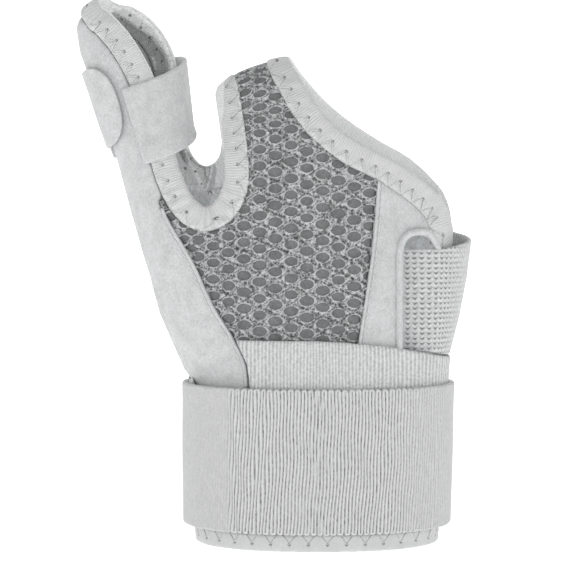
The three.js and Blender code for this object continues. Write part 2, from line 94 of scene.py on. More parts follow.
# Edges of the openings: across as a share of HALF_WIDTH, up as a share of HEIGHT.
THUMB_EDGE_FRONT = [
    (-1.73, 1.06), (-1.66, 0.985), (-1.57, 0.965), (-1.433, 0.929), (-1.333, 0.892), (-1.264, 0.86),
    (-1.205, 0.824), (-1.143, 0.774), (-1.1, 0.726), (-1.069, 0.695), (-1.023, 0.665),
    (-0.962, 0.637), (-0.9, 0.621), (-0.838, 0.615), (-0.774, 0.625), (-0.722, 0.645),
    (-0.7, 0.672), (-0.71, 0.711), (-0.731, 0.749), (-0.762, 0.797), (-0.79, 0.83), (-0.86, 0.87),
]
THUMB_EDGE_BACK = [
    (-1.73, 1.06), (-1.6, 0.995), (-1.42, 0.983), (-1.25, 0.952), (-1.13, 0.905), (-1.08, 0.85),
    (-1.05, 0.795), (-1.025, 0.739), (-0.985, 0.713), (-0.917, 0.695), (-0.857, 0.69),
    (-0.79, 0.699), (-0.745, 0.722), (-0.74, 0.767), (-0.765, 0.801), (-0.79, 0.83), (-0.86, 0.87),
]
FINGER_EDGE_FRONT = [
    (-0.24, 0.93), (-0.2, 0.879), (-0.138, 0.851), (-0.045, 0.809), (0.09, 0.769), (0.281, 0.733),
    (0.51, 0.706), (0.7, 0.678), (0.869, 0.647), (0.983, 0.615), (1.04, 0.578), (1.16, 0.55),
]
FINGER_EDGE_BACK = [
    (-0.24, 0.93), (-0.19, 0.882), (-0.062, 0.846), (0.09, 0.809), (0.281, 0.773), (0.51, 0.738),
    (0.738, 0.706), (0.929, 0.66), (1.024, 0.615), (1.05, 0.578), (1.16, 0.55),
]

# Sections of the palm tube and the thumb sheath: height, thumb end, little-finger end, half depth, lift.
# Heights are shares of HEIGHT, ends of HALF_WIDTH and depths of the tube's own half depth.
PALM_ROWS = np.array([
    (0.0, -0.93, 0.93, 1.0, 0), (0.033, -0.925, 0.925, 1.0, 0), (0.17, -0.93, 0.94, 0.97, 0),
    (0.29, -0.93, 0.95, 0.94, 0), (0.38, -0.955, 0.985, 0.93, 0), (0.46, -1.0, 1.0, 0.93, 0),
    (0.57, -0.97, 1.03, 0.9, 0), (0.645, -0.95, 1.035, 0.86, 0), (0.7, -0.9, 1.03, 0.82, 0),
    (0.745, -0.83, 1.02, 0.77, 0), (0.805, -0.785, 0.95, 0.66, 0.2), (0.835, -0.745, 0.86, 0.56, 0.6),
    (0.86, -0.61, 0.71, 0.42, 0.9), (0.877, -0.42, 0.48, 0.28, 1), (0.886, -0.26, 0.1, 0.12, 1),
])
THUMB_ROWS = np.array([
    (0.25, -0.84, -0.3, 0.6, 0), (0.31, -0.99, -0.24, 1.07, 0), (0.37, -1.11, -0.24, 1.27, 0),
    (0.43, -1.2, -0.29, 1.3, 0), (0.52, -1.32, -0.48, 1.27, 0), (0.614, -1.43, -0.72, 1.17, 0),
    (0.705, -1.53, -0.93, 1.05, 0), (0.767, -1.62, -1.02, 0.97, 0), (0.833, -1.71, -1.05, 0.97, 0),
    (0.898, -1.81, -1.08, 0.93, 0.2), (0.943, -1.84, -1.19, 0.8, 0.6), (0.977, -1.78, -1.37, 0.53, 0.9),
    (0.995, -1.68, -1.5, 0.24, 1),
])

hem_low, hem_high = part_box("hem_binding")
PALM_MIDDLE = (hem_low + hem_high) / 2

# The camera, and where it looks: beside the palm's middle, towards the thumb.
CAMERA_DISTANCE, CAMERA_HEIGHT, CAMERA_LENS = 0.6, 110 * MM, 114
AIM_ASIDE, AIM_HEIGHT = 8.8 * MM, 81.3 * MM

# The hollow: what lies on the thumb side of SHEATH_FROM is judged by the sheath's own axis.
SHEATH_FROM = PALM_MIDDLE.x - 30 * MM
SHEATH_AXIS = PALM_MIDDLE.x - 42 * MM
HOLLOW_REACH = 90 * MM
CLEAR_OF_FACE = 1.2 * MM
SIGHT_FROM = 0.3  # lines of sight start this far from the middle, outside the splint
LAY_FROM = 0.2  # and so do the lines along which the mesh is laid on

# The mitt where it is seen through the strap's slot: as pale as this share of the lining, and given the same
# share of the lining's painted glow.
SLOT_FROM, SLOT_LOW, SLOT_HIGH = 36 * MM, 60 * MM, 104 * MM
SLOT_PALE_AND_GLOW = 0.75

# The thumb panel's foot at the thumb side, where it is brought out over the bulge of the mitt.
FOOT_OUT = 2.2 * MM
FOOT_LOW, FOOT_LOW_FADE = 50 * MM, 6 * MM
FOOT_HIGH, FOOT_HIGH_FADE = 86 * MM, 12 * MM
FOOT_FRONT, FOOT_FRONT_FADE = -12 * MM, 5 * MM
FOOT_BACK = 1.5 * MM
FOOT_SIDE = -18 * MM

# Brushed pieces: node, width of the new mesh's cells in millimetres, rounds of smoothing.
BRUSHED_PIECES = [("thumb_panel", 0.7, 12), ("palm_panel", 0.5, 10), ("thumb_strap", 0.5, 12),
                  ("thumb_tab", 0.4, 10), ("strap_closure", 0.8, 6)]


# Camera, light and floor

def look_at(piece, target):
    direction = Vector(target) - piece.location
    piece.rotation_euler = direction.to_track_quat("-Z", "Y").to_euler()


def set_camera():
    data = bpy.data.cameras.new("camera")
    camera = bpy.data.objects.new("camera", data)
    bpy.context.scene.collection.objects.link(camera)
    centre = Vector((PALM_MIDDLE.x - AIM_ASIDE, 0, AIM_HEIGHT))
    camera.location = (centre.x, -CAMERA_DISTANCE, CAMERA_HEIGHT)
    look_at(camera, centre)
    data.lens = CAMERA_LENS
    data.sensor_width = 36
    bpy.context.scene.camera = camera


def add_area(name, place, target, size, power):
    data = bpy.data.lights.new(name, "AREA")
    data.shape = "DISK"
    data.size = size
    data.energy = power
    lamp = bpy.data.objects.new(name, data)
    bpy.context.scene.collection.objects.link(lamp)
    lamp.location = place
    look_at(lamp, target)


def white_stage(name, size, place, turn, glow):
    """A white surface of the set that glows enough to stay white where the splint shades it."""
    bpy.ops.mesh.primitive_plane_add(size=size, location=place, rotation=(turn, 0, 0))
    sheet = bpy.context.active_object
    sheet.name = name
    bpy.ops.object.transform_apply(location=True, rotation=True, scale=True)
    paint = bpy.data.materials.new(name + "_paint")
    paint.use_nodes = True
    shader = paint.node_tree.nodes["Principled BSDF"]
    shader.inputs["Base Color"].default_value = (0.9, 0.9, 0.9, 1)
    shader.inputs["Roughness"].default_value = 0.9
    shader.inputs["Emission Color"].default_value = (1, 1, 1, 1)
    shader.inputs["Emission Strength"].default_value = glow
    sheet.data.materials.append(paint)


def set_studio():
    middle = (0, 0, 0.09)
    add_area("key", (-0.75, -0.9, 1.0), middle, 0.55, 1.5)
    add_area("fill", (0.95, -0.8, 0.45), middle, 0.9, 0.7)
    add_area("front", (0.1, -0.95, 0.06), middle, 0.35, 1.0)
    add_area("rim", (0.6, 0.8, 0.9), middle, 0.6, 0.2)
    world = bpy.data.worlds.new("studio")
    world.use_nodes = True
    world.node_tree.nodes["Background"].inputs["Color"].default_value = (1, 1, 1, 1)
    world.node_tree.nodes["Background"].inputs["Strength"].default_value = 0.5
    bpy.context.scene.world = world
    bpy.context.scene.view_settings.view_transform = "Standard"
    white_stage("floor", 60, (0, 0, 0), 0, 0.6)
    white_stage("backdrop", 4, (0, 1.2, 0), math.pi / 2, 0.68)


# Materials

class Nodes:
    """A short way to place and wire the nodes of one tree."""

    def __init__(self, tree):
        self.tree = tree

    def add(self, kind, **values):
        node = self.tree.nodes.new(kind)
        for key, value in values.items():
            setattr(node, key, value)
        return node

    def link(self, source, target):
        self.tree.links.new(source, target)

    def math(self, operation, first, second=0.0):
        node = self.add("ShaderNodeMath", operation=operation)
        for socket, value in zip(node.inputs, (first, second)):
            if isinstance(value, (int, float)):
                socket.default_value = value
            else:
                self.link(value, socket)
        return node.outputs[0]

    def noise(self, vector, scale, detail=2.0):
        node = self.add("ShaderNodeTexNoise")
        node.inputs["Scale"].default_value = scale
        node.inputs["Detail"].default_value = detail
        self.link(vector, node.inputs["Vector"])
        return node.outputs["Fac"]

    def place(self):
        return self.add("ShaderNodeTexCoord").outputs["Object"]

    def attribute(self, name):
        return self.add("ShaderNodeAttribute", attribute_name=name).outputs["Fac"]

    def map_parts(self, name):
        """The two measures of one of the piece's own maps."""
        parts = self.add("ShaderNodeSeparateXYZ")
        self.link(self.add("ShaderNodeUVMap", uv_map=name).outputs["UV"], parts.inputs[0])
        return parts.outputs["X"], parts.outputs["Y"]

    def near(self, distance, reach):
        """1 at no distance, down to 0 at the reach and past it."""
        share = self.math("MINIMUM", self.math("DIVIDE", distance, reach), 1.0)
        return self.math("SUBTRACT", 1.0, share)

    def scaled(self, colour, share):
        node = self.add("ShaderNodeVectorMath", operation="SCALE")
        self.link(colour, node.inputs[0])
        self.link(share, node.inputs["Scale"])
        return node.outputs[0]


def pile_group():
    """Cloth fibre: fine lint and soft mottling, put out as a shade of the cloth's colour and a height."""
    group = bpy.data.node_groups.new("cloth_fibre", "ShaderNodeTree")
    face = group.interface
    for name, value in (("Fibre Scale", 2600.0), ("Mottle", 0.08), ("Lint", 0.12)):
        face.new_socket(name, in_out="INPUT", socket_type="NodeSocketFloat").default_value = value
    face.new_socket("Colour", in_out="INPUT", socket_type="NodeSocketColor")
    face.new_socket("Shade", in_out="OUTPUT", socket_type="NodeSocketColor")
    face.new_socket("Height", in_out="OUTPUT", socket_type="NodeSocketFloat")
    n = Nodes(group)
    inside, outside = n.add("NodeGroupInput"), n.add("NodeGroupOutput")
    place = n.place()
    fibre = n.add("ShaderNodeTexNoise")
    fibre.inputs["Detail"].default_value = 3
    n.link(place, fibre.inputs["Vector"])
    n.link(inside.outputs["Fibre Scale"], fibre.inputs["Scale"])
    patch = n.noise(place, 240.0, 4.0)
    lint = n.math("MULTIPLY", n.math("SUBTRACT", fibre.outputs["Fac"], 0.5), inside.outputs["Lint"])
    mottle = n.math("MULTIPLY", n.math("SUBTRACT", patch, 0.5), inside.outputs["Mottle"])
    shade = n.math("ADD", n.math("ADD", lint, mottle), 1.0)
    n.link(n.scaled(inside.outputs["Colour"], shade), outside.inputs["Shade"])
    n.link(fibre.outputs["Fac"], outside.inputs["Height"])
    return group


FIBRE = pile_group()


def cloth_material(name, colour, fibre_scale, mottle, lint, bump, roughness, sheen):
    made = bpy.data.materials.new(name)
    made.use_nodes = True
    n = Nodes(made.node_tree)
    shader = made.node_tree.nodes["Principled BSDF"]
    fibre = n.add("ShaderNodeGroup", node_tree=FIBRE)
    fibre.inputs["Fibre Scale"].default_value = fibre_scale
    fibre.inputs["Mottle"].default_value = mottle
    fibre.inputs["Lint"].default_value = lint
    fibre.inputs["Colour"].default_value = (*colour, 1)
    relief = n.add("ShaderNodeBump")
    relief.inputs["Distance"].default_value = bump
    relief.inputs["Strength"].default_value = 0.8
    n.link(fibre.outputs["Height"], relief.inputs["Height"])
    n.link(fibre.outputs["Shade"], shader.inputs["Base Color"])
    n.link(relief.outputs["Normal"], shader.inputs["Normal"])
    shader.inputs["Roughness"].default_value = roughness
    shader.inputs["Sheen Weight"].default_value = sheen
    shader.inputs["Sheen Roughness"].default_value = 0.4
    shader.inputs["Specular IOR Level"].default_value = 0.25
    return made, n, shader, fibre, relief


BRUSHED = cloth_material("brushed_loop", (0.63, 0.635, 0.64), 1500, 0.42, 0.55, 0.3 * MM, 0.95, 0.3)[0]
THREAD = cloth_material("sewing_thread", (0.74, 0.745, 0.75), 5000, 0.05, 0.2, 0.05 * MM, 0.6, 0.2)[0]


def light_through(n, shader, colour, inside):
    """A faint glow on the inner faces, in place of the light that comes through the cloth."""
    n.link(n.scaled(colour, inside), shader.inputs["Emission Color"])
    shader.inputs["Emission Strength"].default_value = THROUGH_STRENGTH


def backing_material():
    """The ground of the spacer mesh: grey under the holes, and pale and dimpled inside."""
    made, n, shader, fibre, relief = cloth_material(
        "mesh_backing", (0.195, 0.2, 0.202), 1500, 0.6, 0.9, 0.1 * MM, 0.9, 0.1)
    inside = n.attribute("inside")
    dimples = n.add("ShaderNodeTexVoronoi")
    dimples.inputs["Scale"].default_value = 260
    n.link(n.place(), dimples.inputs["Vector"])
    brighter = n.math("ADD", 1.0, n.math("MULTIPLY", inside, 2.3))
    dimple = n.math("MULTIPLY", n.math("MULTIPLY", dimples.outputs["Distance"], inside), -0.8)
    # Painted shade: the lining's colour is darkened where its dimples dip.
    colour = n.scaled(fibre.outputs["Shade"], n.math("ADD", brighter, dimple))
    n.link(colour, shader.inputs["Base Color"])
    light_through(n, shader, colour, inside)
    relief.inputs["Distance"].default_value = 0.8 * MM
    n.link(dimple, relief.inputs["Height"])
    return made


def lace_material():
    """The knitted ground between the holes: a lace of pale threads, brightest round each hole."""
    made, n, shader, fibre, relief = cloth_material(
        "mesh_lace", (0.58, 0.595, 0.6), 1500, 0.3, 0.6, 0.4 * MM, 0.6, 0.2)
    place = n.place()
    cells = n.add("ShaderNodeTexVoronoi", feature="DISTANCE_TO_EDGE")
    n.link(place, cells.inputs["Vector"])
    cells.inputs["Scale"].default_value = 1050
    thread = n.near(cells.outputs["Distance"], 0.3)
    broken = n.math("MULTIPLY", n.math("SUBTRACT", n.noise(place, 800.0), 0.3), 2.2)
    broken = n.math("MAXIMUM", broken, 0.0)
    lace = n.math("MULTIPLY", n.math("MULTIPLY", thread, broken), 1.6)
    knitted_rim = n.math("MULTIPLY", n.attribute("rim"), n.math("ADD", broken, 0.2))
    shade = n.math("ADD", n.math("ADD", lace, 0.14), knitted_rim)
    colour = n.scaled(fibre.outputs["Shade"], n.math("MINIMUM", shade, 1.15))
    n.link(colour, shader.inputs["Base Color"])
    n.link(n.math("ADD", fibre.outputs["Height"], thread), relief.inputs["Height"])
    return made


def knit_material():
    """Ribbed elastic: painted shade darkens the valleys between the yarns, and crossing yarns break it."""
    made, n, shader, fibre, _ = cloth_material(
        "ribbed_knit", (0.72, 0.725, 0.725), 1700, 0.1, 0.35, 0.12 * MM, 0.85, 0.25)
    groove_shade = n.attribute("groove_shade")
    stretched = n.add("ShaderNodeMapping")
    stretched.inputs["Scale"].default_value = (1, 1, 0.75)
    n.link(n.place(), stretched.inputs["Vector"])
    crossing = n.noise(stretched.outputs[0], 1100.0)
    uneven = n.math("MULTIPLY", n.math("SUBTRACT", crossing, 0.5), groove_shade)
    strength = n.math("ADD", n.math("MULTIPLY", uneven, 2.1), 0.62)
    # Painted shade: the colour is darkened in the valleys that the attribute marks.
    depth = n.math("MULTIPLY", n.math("POWER", groove_shade, 0.9), strength)
    shade = n.math("MAXIMUM", n.math("SUBTRACT", 1.06, depth), 0.12)
    n.link(n.scaled(fibre.outputs["Shade"], shade), shader.inputs["Base Color"])
    return made


def waffle_material():
    """Knit in fine ribs, which turn to rows of small zigzags where the piece asks for a waffle."""
    made, n, shader, fibre, relief = cloth_material(
        "waffle_knit", (0.7, 0.705, 0.71), 1700, 0.08, 0.35, 0.45 * MM, 0.85, 0.25)
    along, up = n.map_parts("weave")
    column = n.math("DIVIDE", along, WAFFLE_PITCH / MM)
    along_it = n.math("COSINE", n.math("MULTIPLY", column, 2 * math.pi))
    zigzag = n.math("ABSOLUTE", n.math("SUBTRACT", n.math("FRACT", column), 0.5))
    row = n.math("ADD", n.math("DIVIDE", up, WAFFLE_ROW / MM), n.math("MULTIPLY", zigzag, 0.9))
    up_it = n.math("COSINE", n.math("MULTIPLY", row, 2 * math.pi))
    between = n.math("ADD", n.math("MULTIPLY", along_it, 0.45), 0.55)
    gap = n.math("MULTIPLY", n.math("MAXIMUM", up_it, 0.0), between)
    pad = n.math("SUBTRACT", 0.68, n.math("MULTIPLY", gap, 0.8))
    rib = n.math("ADD", n.math("MULTIPLY", along_it, 0.2), 0.62)
    height = n.math("ADD", rib, n.math("MULTIPLY", n.attribute("waffle"), n.math("SUBTRACT", pad, rib)))
    loose = n.noise(n.place(), 1100.0)
    height = n.math("ADD", height, n.math("MULTIPLY", n.math("SUBTRACT", loose, 0.5), 0.8))
    # Painted shade: the colour darkens with the relief's height, most in the hollows between the ribs and
    # the pads.
    shade = n.math("ADD", n.math("MULTIPLY", n.math("MAXIMUM", height, 0.0), 0.85), 0.38)
    colour = n.scaled(fibre.outputs["Shade"], n.math("MINIMUM", shade, 1.12))
    n.link(colour, shader.inputs["Base Color"])
    n.link(height, relief.inputs["Height"])
    return made


def binding_material(name, pitch, hole_depth, ribbing):
    """Folded elastic: fine ribs square to the edge, and pinholes with a V crease from each."""
    made, n, shader, fibre, relief = cloth_material(
        name, (0.7, 0.705, 0.705), 2400, 0.12, 0.2, 0.25 * MM, 0.8, 0.25)
    run, depth = n.map_parts("edge")
    loose = n.noise(n.place(), 420.0)
    shifted = n.math("ADD", run, n.math("MULTIPLY", loose, 0.8))
    rib = n.math("SINE", n.math("MULTIPLY", shifted, 2 * math.pi / (ELASTIC_RIB_PITCH / MM)))
    phase = n.math("SUBTRACT", n.math("FRACT", n.math("DIVIDE", run, pitch / MM)), 0.5)
    across = n.math("MULTIPLY", phase, pitch / MM)
    up = n.math("SUBTRACT", depth, hole_depth / MM)
    far = n.math("SQRT", n.math("ADD", n.math("MULTIPLY", across, across), n.math("MULTIPLY", up, up)))
    hole = n.near(far, 0.62)
    pull = n.near(far, 2.2)
    arm = n.math("ABSOLUTE", n.math("SUBTRACT", n.math("ABSOLUTE", across), n.math("MULTIPLY", up, 0.66)))
    crease = n.math("MULTIPLY", n.near(arm, 0.3), n.math("MINIMUM", n.math("MAXIMUM", up, 0.0), 1.0))
    ribs = n.math("MULTIPLY", rib, n.math("MULTIPLY", n.math("ADD", loose, 0.1), ribbing))
    height = n.math("ADD", ribs, n.math("MULTIPLY", fibre.outputs["Height"], 0.5))
    dent = n.math("ADD", n.math("MULTIPLY", hole, 2.5), n.math("MULTIPLY", pull, 1.2))
    height = n.math("SUBTRACT", height, dent)
    height = n.math("SUBTRACT", height, n.math("MULTIPLY", crease, 0.7))
    n.link(height, relief.inputs["Height"])
    # Painted light and shade: the rib crowns are lightened and their valleys darkened, and the pinholes and
    # the V creases are darkened with painted shade.
    lit = n.math("ADD", 1.0, n.math("MULTIPLY", ribs, 0.16))
    dark = n.math("ADD", n.math("MULTIPLY", hole, 0.95), n.math("MULTIPLY", crease, 0.16))
    colour = n.scaled(fibre.outputs["Shade"], n.math("SUBTRACT", lit, dark))
    n.link(colour, shader.inputs["Base Color"])
    light_through(n, shader, colour, n.attribute("inside"))
    return made


BACKING = backing_material()
STRAND = lace_material()
KNIT = knit_material()
WAFFLE = waffle_material()
ELASTIC = binding_material("folded_elastic", STITCH_PITCH, PINHOLE_DEPTH, 0.55)
HEM_ELASTIC = binding_material("hem_elastic", HEM_STITCH_PITCH, HEM_HOLE_RISE, 0.12)


# Making pieces

def select_only(piece):
    bpy.ops.object.select_all(action="DESELECT")
    piece.select_set(True)
    bpy.context.view_layer.objects.active = piece


def finish_piece(piece, name, material, slot, *nodes):
    piece.name = name
    piece.data.materials.clear()
    piece.data.materials.append(material)
    select_only(piece)
    bpy.ops.object.shade_smooth()
    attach(piece, "root")
    if nodes:
        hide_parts(*nodes)
    return piece


def apply_modifier(piece, kind, **values):
    modifier = piece.modifiers.new(kind.lower(), kind)
    for key, value in values.items():
        setattr(modifier, key, value)
    select_only(piece)
    bpy.ops.object.modifier_apply(modifier=modifier.name)


def cloth_copy(node, voxel, rounds, swell=0.0):
    """The node's form as cloth: merged, remeshed evenly and rounded at its edges."""
    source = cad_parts[node]
    piece = source.copy()
    piece.data = source.data.copy()
    for key in list(piece.keys()):
        del piece[key]
    piece.parent = None
    bpy.context.scene.collection.objects.link(piece)
    select_only(piece)
    bpy.ops.object.mode_set(mode="EDIT")
    bpy.ops.mesh.select_all(action="SELECT")
    bpy.ops.mesh.remove_doubles(threshold=0.002 * MM)
    bpy.ops.object.mode_set(mode="OBJECT")
    apply_modifier(piece, "REMESH", mode="VOXEL", voxel_size=voxel, use_smooth_shade=True)
    apply_modifier(piece, "SMOOTH", factor=0.5, iterations=rounds)
    if swell:
        apply_modifier(piece, "DISPLACE", strength=swell, mid_level=0.0)
    return piece


def mesh_piece(points, faces):
    data = bpy.data.meshes.new("piece")
    data.from_pydata([tuple(p) for p in points], [], faces)
    data.update()
    piece = bpy.data.objects.new("piece", data)
    bpy.context.scene.collection.objects.link(piece)
    return piece


def corners_of(piece):
    points = np.zeros(len(piece.data.vertices) * 3)
    piece.data.vertices.foreach_get("co", points)
    return points.reshape(-1, 3)


def normals_of(piece):
    normals = np.zeros(len(piece.data.vertices) * 3)
    piece.data.vertices.foreach_get("normal", normals)
    return normals.reshape(-1, 3)


def move_corners(piece, points):
    piece.data.vertices.foreach_set("co", points.ravel())
    piece.data.update()


def set_attribute(piece, name, values):
    piece.data.attributes.new(name, "FLOAT", "POINT").data.foreach_set("value", values.astype(np.float32))


def set_map(piece, name, across, up):
    """A map of the piece's own, in millimetres."""
    layer = piece.data.uv_layers.new(name=name)
    index = np.zeros(len(piece.data.loops), int)
    piece.data.loops.foreach_get("vertex_index", index)
    flat = np.stack([across[index] / MM, up[index] / MM], axis=1)
    layer.data.foreach_set("uv", flat.astype(np.float32).ravel())


def runs_of(line):
    """How far along a line each of its points lies."""
    return np.concatenate([[0], np.cumsum(np.linalg.norm(np.diff(line, axis=0), axis=1))])


def fade(values, start, width):
    """0 up to the start and 1 from a width past it. With a negative width it runs downwards."""
    return np.clip((values - start) / width, 0, 1)


def tree_of(node):
    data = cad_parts[node].data
    return BVHTree.FromPolygons([v.co for v in data.vertices], [p.vertices for p in data.polygons])


TREES = {node: tree_of(node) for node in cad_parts}


# Edging

def edge_line(shares):
    """The edge as an even run of points, seen from the front, in the splint's frame."""
    knots = [Vector((a * HALF_WIDTH + PALM_MIDDLE.x, 0, u * HEIGHT)) for a, u in shares]
    dense = []
    for i in range(len(knots) - 1):
        before, start = knots[max(i - 1, 0)], knots[i]
        end, after = knots[i + 1], knots[min(i + 2, len(knots) - 1)]
        for k in range(10):
            t = k / 10
            dense.append(0.5 * (2 * start + (end - before) * t
                                + (2 * before - 5 * start + 4 * end - after) * t * t
                                + (3 * start - before - 3 * end + after) * t ** 3))
    dense.append(knots[-1])
    return np.array([(p.x, p.z) for p in dense])


def run_and_depth(line, xs, zs):
    """For each place seen from the front, its run along the line and its distance from it."""
    starts, ends = line[:-1], line[1:]
    steps = ends - starts
    lengths = np.linalg.norm(steps, axis=1)
    runs = np.concatenate([[0], np.cumsum(lengths)[:-1]])
    best = np.full(len(xs), 1e9)
    run = np.zeros(len(xs))
    for start, step, length, at in zip(starts, steps, lengths, runs):
        t = np.clip(((xs - start[0]) * step[0] + (zs - start[1]) * step[1]) / length ** 2, 0, 1)
        far = np.hypot(xs - start[0] - t * step[0], zs - start[1] - t * step[1])
        nearer = far < best
        best = np.where(nearer, far, best)
        run = np.where(nearer, at + t * length, run)
    return run, best


def faces_inwards(points, normals):
    """1 where a face looks into the hollow of the mitt or of the thumb sheath."""
    axis = np.where(points[:, 0] < SHEATH_FROM, SHEATH_AXIS, PALM_MIDDLE.x)
    away = (points[:, 0] - axis) * normals[:, 0] + (points[:, 1] - PALM_MIDDLE.y) * normals[:, 1]
    found = (away < 0).astype(float)
    for i in np.flatnonzero(away >= 0):
        ahead = Vector(normals[i])
        start = Vector(points[i]) + ahead * CLEAR_OF_FACE
        if TREES["hand_mesh"].ray_cast(start, ahead, HOLLOW_REACH)[0] is not None:
            found[i] = 1
    return found


def set_edge_map(piece, front_line, back_line):
    """Maps the piece along its edge and in from it, and gives both back."""
    points = corners_of(piece)
    front = run_and_depth(front_line, points[:, 0], points[:, 2])
    back = run_and_depth(back_line, points[:, 0], points[:, 2])
    facing = points[:, 1] < PALM_MIDDLE.y
    run = np.where(facing, front[0], back[0])
    depth = np.where(facing, front[1], back[1])
    set_map(piece, "edge", run, depth)
    return run, depth


def surface_at(node, x, z, front):
    """Where a level line of sight meets a node, from the front or from behind."""
    side = -1 if front else 1
    hit = TREES[node].ray_cast(Vector((x, side * SIGHT_FROM, z)), Vector((0, -side, 0)))
    return hit[0], hit[1]


def point_at(line, lengths, at):
    return np.array([np.interp(at, lengths, line[:, 0]), np.interp(at, lengths, line[:, 1])])


def stitch_row(name, node, line, front):
    """V stitches along an edge: each dips into its pinhole, and its arms reach the inner border."""
    lengths = runs_of(line)
    strands = []
    for i in range(int(lengths[-1] / STITCH_PITCH)):
        hole = (i + 0.5) * STITCH_PITCH
        for side in (-1, 1):
            strand = []
            for k in range(6):
                share = k / 5
                at = hole + side * share * 0.4 * STITCH_PITCH
                depth = PINHOLE_DEPTH + share * STITCH_REACH
                x, z = point_at(line, lengths, at)
                dx, dz = point_at(line, lengths, at + 0.3 * MM) - point_at(line, lengths, at - 0.3 * MM)
                size = math.hypot(dx, dz)
                if size < 0.1 * MM:
                    continue
                place, normal = surface_at(node, x + depth * dz / size, z - depth * dx / size, front)
                if place is not None and abs(normal.y) > 0.25:
                    rise = THREAD_RADIUS * (0.6 if 0 < k < 5 else -2.5)
                    strand.append(place + normal * (EDGING_FACE + rise))
            if len(strand) > 3 and longest_step(strand) < LONGEST_STEP:
                strands.append(strand)
    return thread_piece(name, strands, THREAD_RADIUS)


def longest_step(strand):
    return max((q - p).length for p, q in zip(strand, strand[1:]))


def thread_piece(name, strands, radius, material=None, node_slot="elastic_binding", sides=6):
    if not strands:
        return None
    points, faces = [], []
    for strand in strands:
        base = len(points)
        for i, p in enumerate(strand):
            step = (strand[min(i + 1, len(strand) - 1)] - strand[max(i - 1, 0)]).normalized()
            side = step.cross(Vector((0, 1, 0.01))).normalized()
            over = side.cross(step).normalized()
            for s in range(sides):
                turn = 2 * math.pi * s / sides
                points.append(p + side * radius * math.cos(turn) + over * radius * math.sin(turn))
        rows = len(strand)
        for i in range(rows - 1):
            for s in range(sides):
                a, b = base + i * sides + s, base + i * sides + (s + 1) % sides
                faces.append((a, b, b + sides, a + sides))
        faces.append(tuple(base + s for s in reversed(range(sides))))
        faces.append(tuple(base + (rows - 1) * sides + s for s in range(sides)))
    piece = mesh_piece(points, faces)
    bm = bmesh.new()
    bm.from_mesh(piece.data)
    bmesh.ops.recalc_face_normals(bm, faces=bm.faces)
    bm.to_mesh(piece.data)
    bm.free()
    return finish_piece(piece, name, material or THREAD, node_slot)


def edging(node, front_shares, back_shares, folds_below):
    """A folded elastic edge, with soft gathers where it is bent round below a height."""
    front_line, back_line = edge_line(front_shares), edge_line(back_shares)
    piece = cloth_copy(node, 0.53 * MM, 11, 0.3 * MM)
    run, depth = set_edge_map(piece, front_line, back_line)
    points, normals = corners_of(piece), normals_of(piece)
    bent = fade(points[:, 2], folds_below, -6 * MM)
    inwards = np.sin(math.pi * np.clip(depth / BINDING_WIDTH, 0, 1))
    fold = np.sin(2 * math.pi * run / (3.3 * MM) + 1.2 * np.sin(run / (4.1 * MM)))
    gather = np.sin(2 * math.pi * run / STITCH_PITCH) * 0.07 + fold * 0.42 * bent
    points += normals * (gather * inwards * MM)[:, None]
    move_corners(piece, points)
    set_attribute(piece, "inside", faces_inwards(points, normals))
    finish_piece(piece, node + "_elastic", ELASTIC, "elastic_binding", node)
    stitch_row(node + "_stitches", node, front_line, True)
    stitch_row(node + "_stitches_back", node, back_line, False)


# Straps of ribbed knit

def along(rows, column, at):
    """A value between the rows of a table, on a smooth curve through them."""
    last = len(rows) - 1
    i = np.clip(np.searchsorted(rows[:, 0], at, side="right") - 1, 0, last - 1)
    before, after = np.maximum(i - 1, 0), np.minimum(i + 2, last)
    height, value = rows[:, 0], rows[:, column]
    span = height[i + 1] - height[i]
    t = np.clip((at - height[i]) / span, 0, 1)
    rise_a = (value[i + 1] - value[before]) / (height[i + 1] - height[before]) * span
    rise_b = (value[after] - value[i]) / (height[after] - height[i]) * span
    return ((2 * t ** 3 - 3 * t ** 2 + 1) * value[i] + (t ** 3 - 2 * t ** 2 + t) * rise_a
            + (3 * t ** 2 - 2 * t ** 3) * value[i + 1] + (t ** 3 - t ** 2) * rise_b)


def section(rows, half_depth, share, turn, offset):
    """Points of the tube: turn 0 is the little-finger side and a quarter turn is the back."""
    thumb_end, little_end = along(rows, 1, share) * HALF_WIDTH, along(rows, 2, share) * HALF_WIDTH
    across = np.maximum((little_end - thumb_end) / 2 + offset, 0.4 * MM)
    deep = np.maximum(along(rows, 3, share) * half_depth + offset, 0.4 * MM)
    c, d = np.cos(turn), np.sin(turn)
    power = 2 / SECTION_POWER
    x = PALM_MIDDLE.x + (little_end + thumb_end) / 2 + across * np.sign(c) * np.abs(c) ** power
    y = PALM_MIDDLE.y + deep * np.sign(d) * np.abs(d) ** power
    z = share * HEIGHT + offset * along(rows, 4, share)
    return np.stack(np.broadcast_arrays(x, y, z), axis=-1)


def loop_relief(across, from_edge):
    """Yarns knitted in hairpins: legs up the strap, joined by an arch at its edge. 1 is a yarn's crown."""
    phase = across / LOOP_PITCH
    beside = (phase - np.floor(phase) - 0.5) * LOOP_PITCH
    radius = LOOP_PITCH / 4
    centre = radius + 0.25 * YARN_WIDTH
    legs = np.abs(np.abs(beside) - radius)
    arch = np.abs(np.hypot(beside, centre - from_edge) - radius)
    far = np.where(from_edge > centre, legs, arch)
    return np.sqrt(np.clip(1 - (far / (0.55 * YARN_WIDTH)) ** 2, 0, 1))


